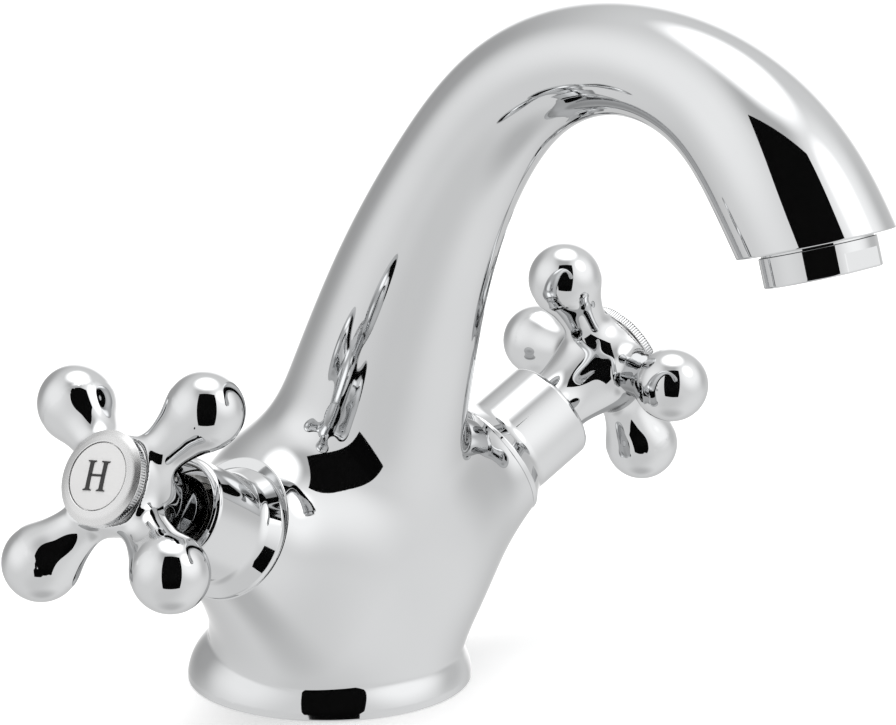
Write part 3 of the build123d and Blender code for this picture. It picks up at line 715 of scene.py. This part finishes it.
def handleField(points):
    h = handle
    x, y, s = points.T
    result = np.hypot(x, y) - hubRadius(np.clip(s, h["back"], h["front"]))
    rise = s - h["crossPlane"]
    for along, aside in ((x, y), (y, x)):
        reach = np.abs(along)
        off = np.hypot(aside, rise)
        inner = np.minimum(reach, h["stem"][-1][0])
        swell = (stemRadius(inner + 0.1) - stemRadius(inner - 0.1)) / 0.2
        stem = (off - stemRadius(inner)) / np.sqrt(1 + swell ** 2)
        stem = np.maximum(stem, reach - h["stem"][-1][0])
        ball = np.sqrt((reach - h["lobePlace"]) ** 2 + off ** 2) - h["lobeRadius"]
        result = blended(result, blended(stem, ball, h["lobeBlend"]), h["hubBlend"])
    wide = np.hypot(x, y)
    front = s - h["front"] - h["frontFlare"] * np.maximum(wide - h["frontRadius"], 0)
    result = -blended(-result, -front, h["frontBlend"])
    recess = np.maximum(wide - h["recess"][0], h["recess"][1] - s)
    return np.maximum(result, -recess)


def handlePieces():
    h = handle
    span = h["lobePlace"] + h["lobeRadius"] + h["gridMargin"]
    across = np.arange(-span, span, h["grid"])
    along = np.arange(h["back"] - h["gridMargin"],
                      h["crossPlane"] + h["lobeRadius"] + h["gridMargin"], h["grid"])
    back, facingBack = np.array([0.0, 0.0, h["back"]]), np.array([0.0, 0.0, -1.0])
    plane = (back - facingBack * h["edge"], facingBack, h["trimReach"])
    points, quads = nettedSkin(handleField, across, across, along, relax=3)
    points, faces, loops = trimmedSkin(points, quads, [plane])
    facing = unit(slopeOf(handleField, points))
    for side, valve in valves.items():
        angle = math.radians(h["firstLobe"][side])
        spin = np.array([[math.cos(angle), -math.sin(angle), 0],
                         [math.sin(angle), math.cos(angle), 0], [0, 0, 1]])
        axes, start = valve["axes"] @ spin, valve["start"]
        normals = facing @ axes.T
        there = points @ axes.T + start
        skin = Skin()
        skin.add(there, faces, [[tuple(normals[i]) for i in face] for face in faces])
        loop = loops[0]
        normal = axes @ facingBack
        rounding = roundedEdge(there[loop], normals[loop], normal, h["edge"])
        ringsOn(skin, rounding)
        centre = axes @ back + start
        ringsOn(skin, boreRings(rounding[-1][0], centre, normal, *h["socket"]), normal)
        skin.piece(side + "_handle_cross", "chrome", side + "_handle", [side + "_cross_handle"],
                   "chrome")


handlePieces()


# Index cap: domed satin ring on a knurled band, over the handle's recess
cap = {"base": 79.82, "backRadius": 8.8, "grooveEnd": 80.4, "bandRadius": 9.06, "beadRadius": 9.25,
       "bandStart": 80.6, "bandEnd": 81.9, "radius": 9.35, "edgeTop": 82.1,
       "bulge": (8.16, 82.79), "face": 83.32, "inner": 6.72, "floor": 82.4,
       "plugRadius": 6.85, "plugWall": 1.2, "plugEnd": 75.22,
       "ribs": 104, "ribRadius": 0.25, "ribSides": 8}


def capPiece(side):
    c = cap
    plugBore = c["plugRadius"] - c["plugWall"]
    corners = [(0, c["base"], 0), (plugBore, c["base"], 0), (plugBore, c["plugEnd"], 0),
               (c["plugRadius"], c["plugEnd"], 0), (c["plugRadius"], c["base"], 0),
               (c["backRadius"], c["base"], 0.12), (c["backRadius"], c["grooveEnd"], 0),
               (c["beadRadius"], c["grooveEnd"], 0.06), (c["beadRadius"], c["bandStart"], 0.06),
               (c["bandRadius"], c["bandStart"], 0), (c["bandRadius"], c["bandEnd"], 0),
               (c["radius"], c["bandEnd"], 0.05), (c["radius"], c["edgeTop"], 0.12),
               (*c["bulge"], 4.0), (c["inner"], c["face"], 0.14), (c["inner"], c["floor"], 0),
               (0, c["floor"], 0)]
    skin = turnedSkin(Skin(), softened(corners, closed=False), valves[side])
    skin.piece(side + "_cap", "satin", side + "_handle", [side + "_index_cap"], "chrome")


def knurlTree():
    # one upright rib repeated round the band
    tree = bpy.data.node_groups.new("cap_knurl", "GeometryNodeTree")
    face = tree.interface
    face.new_socket("Geometry", in_out="OUTPUT", socket_type="NodeSocketGeometry")
    for name, kind in (("Ribs", "NodeSocketInt"), ("Sides", "NodeSocketInt"),
                       ("Band Radius", "NodeSocketFloat"), ("Rib Radius", "NodeSocketFloat"),
                       ("Rib Height", "NodeSocketFloat"), ("Finish", "NodeSocketMaterial")):
        face.new_socket(name, in_out="INPUT", socket_type=kind)

    def node(kind, **values):
        made = tree.nodes.new("GeometryNode" + kind)
        for socketName, value in values.items():
            socket = made.inputs[socketName.replace("_", " ")]
            if isinstance(value, bpy.types.NodeSocket):
                tree.links.new(value, socket)
            else:
                socket.default_value = value
        return made

    inlet = tree.nodes.new("NodeGroupInput").outputs
    outlet = tree.nodes.new("NodeGroupOutput").inputs
    ring = node("MeshCircle", Vertices=inlet["Ribs"], Radius=inlet["Band Radius"])
    rib = node("MeshCylinder", Vertices=inlet["Sides"], Radius=inlet["Rib Radius"],
               Depth=inlet["Rib Height"])
    ribs = node("InstanceOnPoints", Points=ring.outputs["Mesh"], Instance=rib.outputs["Mesh"])
    solid = node("RealizeInstances", Geometry=ribs.outputs["Instances"])
    dressed = node("SetMaterial", Geometry=solid.outputs["Geometry"], Material=inlet["Finish"])
    tree.links.new(dressed.outputs["Geometry"], outlet["Geometry"])
    return tree


def knurlPieces():
    c = cap
    tree = knurlTree()
    sizes = {"Ribs": c["ribs"], "Sides": c["ribSides"], "Band Radius": c["bandRadius"] * mm,
             "Rib Radius": c["ribRadius"] * mm, "Rib Height": (c["bandEnd"] - c["bandStart"]) * mm,
             "Finish": finishes["chrome"]}
    holder = placed("knurl", bpy.data.meshes.new("knurl"))
    maker = holder.modifiers.new("knurl", "NODES")
    maker.node_group = tree
    for item in tree.interface.items_tree:
        if item.in_out == "INPUT":
            maker[item.identifier] = sizes[item.name]
    evaluated = holder.evaluated_get(bpy.context.evaluated_depsgraph_get())
    ring = bpy.data.meshes.new_from_object(evaluated)
    bpy.data.objects.remove(holder)
    for side, valve in valves.items():
        mesh = ring.copy()
        place = Matrix(valve["axes"].tolist()).to_4x4()
        middle = (c["bandStart"] + c["bandEnd"]) / 2
        place.translation = Vector(valve["start"] + valve["axes"][:, 2] * middle) * mm
        mesh.transform(place)
        made = placed(side + "_cap_knurl", mesh)
        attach(made, side + "_handle")
        print(made.name, len(mesh.polygons), "faces")


# Index disc: crowned white enamel in the ring, with its letter in black
disc = {"floor": 82.42, "radius": 6.54, "edgeTop": 83.16, "edge": 0.12, "shoulder": (3.8, 83.38),
        "crown": 83.48, "letterTop": 83.54, "letterFoot": 83.3, "letterHeight": 5.8,
        "stemPlace": 1.62, "stem": 0.46, "serif": 0.98, "serifThickness": 0.26, "bracket": 0.32,
        "bar": 0.22, "barPlace": 0.1, "letterTurn": 45.0, "serifEdge": 0.6, "bracketSteps": 5,
        "curveRadius": 2.55, "curveThin": 0.16, "curveThick": 0.42, "curveOpening": 42.0,
        "curveSwell": 1.5, "curveCap": 1.6, "curveSteps": 40,
        "curveSerif": [(-0.55, -0.25), (-0.02, -0.95), (0.22, -0.95), (0.22, 0.45), (0.02, 0.45),
                       (-0.12, 0.2)]}


def discPiece(side):
    d = disc
    corners = [(0, d["floor"], 0), (d["radius"], d["floor"], 0),
               (d["radius"], d["edgeTop"], d["edge"]), (*d["shoulder"], 30.0), (0, d["crown"], 0)]
    skin = turnedSkin(Skin(), softened(corners, closed=False), valves[side])
    skin.piece(side + "_disc", "index_white", side + "_handle", [side + "_index_disc"],
               "index_white")


def stemOutline(place):
    # a stem with a bracketed serif at each end, walked anticlockwise
    d = disc
    half, corner = d["letterHeight"] / 2, []
    for k in range(d["bracketSteps"] + 1):
        angle = math.pi / 2 * k / d["bracketSteps"]
        corner.append((d["stem"] + d["bracket"] * (1 - math.cos(angle)),
                       half - d["serifThickness"] - d["bracket"] * (1 - math.sin(angle))))
    corner += [(d["serif"], half - d["serifThickness"] * d["serifEdge"]), (d["serif"], half)]
    right = [(x, -y) for x, y in corner[::-1]] + corner
    outline = right + [(-x, y) for x, y in right[::-1]]
    return [(x + place, y) for x, y in outline]


def hotLetter():
    d = disc
    left, right = -d["stemPlace"], d["stemPlace"]
    low, high = d["barPlace"] - d["bar"], d["barPlace"] + d["bar"]
    return [stemOutline(left), stemOutline(right),
            [(left, low), (right, low), (right, high), (left, high)]]


def coldLetter():
    # an open bowl, thick at its back, with a serif hanging from its upper end
    d = disc
    half, thin, swell = d["letterHeight"] / 2, d["curveThin"], d["curveThick"] * 2 - d["curveThin"]
    opening = math.radians(d["curveOpening"])
    outer, inner = [], []
    for k in range(d["curveSteps"] + 1):
        angle = opening + (2 * math.pi - 2 * opening) * k / d["curveSteps"]
        weight = thin + swell * max(0, -math.cos(angle)) ** d["curveSwell"]
        x, y = math.cos(angle), math.sin(angle)
        outer.append((x * d["curveRadius"], y * half))
        inner.append((x * (d["curveRadius"] - weight), y * (half - thin * d["curveCap"])))
    x, y = outer[0]
    return [outer + inner[::-1], [(x + along, y + up) for along, up in d["curveSerif"]]]


def letterPiece(side, outlines):
    d = disc
    valve = valves[side]
    turn = math.radians(handle["firstLobe"][side] + d["letterTurn"])
    up = np.array([math.cos(turn), math.sin(turn), 0.0])
    axes = valve["axes"] @ np.column_stack([np.cross(up, (0, 0, 1)), up, (0, 0, 1)])
    facing = axes[:, 2]
    skin = Skin()
    for outline in outlines:
        flat = np.array([(x, y, 0.0) for x, y in outline])
        levels = [(flat + (0, 0, level)) @ axes.T + valve["start"]
                  for level in (d["letterFoot"], d["letterTop"])]
        count, walls, sides = len(flat), [], []
        for j in range(count):
            i = (j + 1) % count
            step = unit(flat[i] - flat[j])
            out = axes @ np.array([step[1], -step[0], 0.0])
            walls.append([j, i, count + i, count + j])
            sides.append([tuple(out)] * 4)
        skin.add(np.vstack(levels), walls, sides)
        flatOn(skin, levels[:1], -facing)
        flatOn(skin, levels[1:], facing)
    skin.piece(side + "_letter", "ink", side + "_handle", slot="index_white")


# Aerator: skirt with two spanner flats below the spout, its thread hidden in the casting
aerator = {"radius": 10.75, "threadTop": 5.0, "skirt": 6.0, "edge": 0.35, "topGap": 0.45,
           "gapRadius": 10.2, "flatPlace": 9.9, "flatStart": 2.4, "bore": 9.0, "lipBore": 8.2,
           "lip": 1.0, "steps": 40, "topEdge": 0.2, "edgeSteps": 5}


def aeratorPiece():
    a = aerator
    tilt = math.radians(body["outletTilt"])
    down = np.array([0.0, -math.sin(tilt), -math.cos(tilt)])
    level = np.array([1.0, 0.0, 0.0])
    axes = np.column_stack([np.cross(level, down), level, down])
    start = np.array([0.0, *body["outlet"]])
    limit = math.acos(a["flatPlace"] / a["radius"])
    quarter = [np.linspace(-limit, limit, a["steps"], endpoint=False),
               np.linspace(limit, math.pi - limit, 2 * a["steps"], endpoint=False)]
    angles = np.concatenate([part + shift for shift in (0, math.pi) for part in quarter])
    rays = np.column_stack([np.cos(angles), np.sin(angles), np.zeros(len(angles))])
    onFlat = np.abs(rays[:, 0]) > math.cos(limit) - 1e-9
    cut = np.where(onFlat, a["flatPlace"] / np.abs(rays[:, 0]), a["radius"])[:, None]
    flatRays = np.where(onFlat[:, None], np.sign(rays) * (1, 0, 0), rays)
    rings = []

    def ring(radius, place, before, after=None):
        local = rays * radius + (0, 0, place)
        normals = [unit(np.broadcast_to(n, rays.shape)) @ axes.T
                   for n in (before, before if after is None else after)]
        rings.append((local @ axes.T + start, *normals))

    up, low = np.array([0.0, 0.0, -1.0]), np.array([0.0, 0.0, 1.0])
    ring(a["bore"], -a["threadTop"], -rays, up)
    ring(a["gapRadius"], -a["threadTop"], up, rays)
    ring(a["gapRadius"], a["topGap"], rays, up)
    ring(a["radius"] - a["topEdge"], a["topGap"], up)
    ring(a["radius"], a["topGap"] + a["topEdge"], rays)
    ring(a["radius"], a["flatStart"], rays, low)
    ring(cut, a["flatStart"], low, flatRays)
    for k in range(a["edgeSteps"] + 1):
        angle = math.pi / 2 * k / a["edgeSteps"]
        ring(cut - a["edge"] * (1 - math.cos(angle)),
             a["skirt"] - a["edge"] * (1 - math.sin(angle)),
             flatRays * math.cos(angle) + low * math.sin(angle))
    ring(a["lipBore"], a["skirt"], low, -rays)
    ring(a["lipBore"], a["skirt"] - a["lip"], -rays, up)
    ring(a["bore"], a["skirt"] - a["lip"], up, -rays)
    ring(a["bore"], -a["threadTop"], -rays)
    skin = Skin()
    ringsOn(skin, rings)
    skin.piece("aerator_skirt", "chrome", "root", ["aerator_housing"], "chrome")


for side, letter in (("hot", hotLetter()), ("cold", coldLetter())):
    collarPiece(side)
    shroudPiece(side)
    capPiece(side)
    discPiece(side)
    letterPiece(side, letter)
knurlPieces()
aeratorPiece()


# Studio: pale floor, white room, overhead softbox, and what the chrome mirrors
studio = {
    "floorSize": 6.0, "floorLevel": -0.0001, "floorShade": 0.8, "floorGlow": 0.35, "room": 0.8,
    "lamp": (0.9, 1.3, 9.0),                        # size, height, watts
    "card": {"distance": 0.4544, "turn": 2.5, "rise": 15.73, "roll": -1.94,
             "shift": (0.0, 0.03), "half": (0.23, 0.455)},
    "shellRadius": 4.0, "shellSplits": 5, "shellLevel": 0.97,
    # turn from the camera, rise, inner and outer radius in degrees, brightness
    "pools": [(0, -50, 20, 50, 0.88), (90, -45, 10, 60, 1.08), (0, -90, 5, 30, 0.7),
              (-138, 10, 8, 44, 0.56), (118, 8, 6, 30, 0.78), (-12, 68, 10, 34, 0.66),
              (-75, 25, 8, 50, 1.28), (72, 32, 14, 50, 1.45), (72, 43, 8, 20, 2.2),
              (174, 4, 12, 30, 1.9), (165, 80, 13, 31, 2.6)],
}


def towards(turn, rise):
    # a direction from the part, turned from the camera's own
    heading = math.atan2(-sight.y, -sight.x) + math.radians(turn)
    rise = math.radians(rise)
    return Vector((math.cos(heading) * math.cos(rise), math.sin(heading) * math.cos(rise),
                   math.sin(rise)))


def stagePlane(name, centre, across, upright):
    mesh = bpy.data.meshes.new(name)
    mesh.from_pydata([centre + across * x + upright * y
                      for x, y in ((-1, -1), (1, -1), (1, 1), (-1, 1))], [], [(0, 1, 2, 3)])
    return placed(name, mesh)


def mirroredOnly(thing):
    for ray in ("camera", "diffuse", "transmission", "volume_scatter", "shadow"):
        setattr(thing, "visible_" + ray, False)


def studioFloor():
    size, level = studio["floorSize"], studio["floorLevel"]
    floor = stagePlane("floor", Vector((0, 0, level)), Vector((size, 0, 0)), Vector((0, size, 0)))
    pale = Finish("pale_floor", Roughness=0.7, Emission_Strength=studio["floorGlow"])
    pale.shader.inputs["Base Color"].default_value = grey(studio["floorShade"])
    pale.shader.inputs["Emission Color"].default_value = grey(1.0)
    floor.data.materials.append(pale.material)
    floor.visible_glossy = False


def studioCard():
    # dark card that the camera looks through
    c = studio["card"]
    facing = towards(c["turn"], c["rise"])
    across = Vector((0, 0, 1)).cross(facing).normalized()
    upright = facing.cross(across)
    roll = math.radians(c["roll"])
    across, upright = (across * math.cos(roll) + upright * math.sin(roll),
                       upright * math.cos(roll) - across * math.sin(roll))
    centre = Vector(camera["target"]) * mm + facing * c["distance"]
    centre += across * c["shift"][0] + upright * c["shift"][1]
    wide, tall = c["half"]
    card = stagePlane("dark_card", centre, across * wide, upright * tall)
    black = Finish("dark_card", Roughness=1.0, Specular_IOR_Level=0.0)
    black.shader.inputs["Base Color"].default_value = grey(0.004)
    card.data.materials.append(black.material)
    mirroredOnly(card)


def studioShell():
    # softboxes and screens as soft pools of light on a wide shell
    work = bmesh.new()
    bmesh.ops.create_icosphere(work, subdivisions=studio["shellSplits"],
                               radius=studio["shellRadius"])
    mesh = bpy.data.meshes.new("studio_shell")
    work.to_mesh(mesh)
    work.free()
    shell = placed("studio_shell", mesh)
    glow = Finish("studio_shell", Specular_IOR_Level=0.0, Emission_Strength=1.0)
    glow.shader.inputs["Base Color"].default_value = grey(0.0)
    place = glow.node("ShaderNodeVectorMath", {"operation": "NORMALIZE"}, in0=glow.place())
    level = studio["shellLevel"]
    for turn, rise, inner, outer, brightness in studio["pools"]:
        close = glow.node("ShaderNodeVectorMath", {"operation": "DOT_PRODUCT"}, outlet=1,
                          in0=place, in1=towards(turn, rise))
        away = glow.maths("ARCCOSINE", close)
        share = glow.node("ShaderNodeMapRange", {"interpolation_type": "SMOOTHSTEP"},
                          Value=away, in1=math.radians(inner), in2=math.radians(outer),
                          in3=1.0, in4=0.0)
        level = level + share * (brightness - level)
    glow.drive("Emission Color", level)
    mesh.materials.append(glow.material)
    mirroredOnly(shell)


def studioLights():
    world = bpy.data.worlds.new("studio")
    world.use_nodes = True
    tree = world.node_tree
    background = tree.nodes["Background"]
    path = tree.nodes.new("ShaderNodeLightPath")
    seen = path.outputs["Is Camera Ray"]
    for ray in ("Is Glossy Ray", "Is Transmission Ray"):
        either = tree.nodes.new("ShaderNodeMath")
        either.operation = "MAXIMUM"
        tree.links.new(seen, either.inputs[0])
        tree.links.new(path.outputs[ray], either.inputs[1])
        seen = either.outputs[0]
    strength = tree.nodes.new("ShaderNodeMix")
    strength.inputs[2].default_value, strength.inputs[3].default_value = studio["room"], 1.0
    tree.links.new(seen, strength.inputs[0])
    tree.links.new(strength.outputs[0], background.inputs["Strength"])
    background.inputs["Color"].default_value = grey(1.0)
    bpy.context.scene.world = world
    size, height, power = studio["lamp"]
    lamp = bpy.data.lights.new("softbox", "AREA")
    lamp.size, lamp.energy = size, power
    holder = placed("softbox", lamp)
    holder.location = (0.0, 0.0, height)
    holder.visible_camera = holder.visible_glossy = False


studioFloor()
studioCard()
studioShell()
studioLights()
bpy.context.scene.view_settings.view_transform = "Standard"
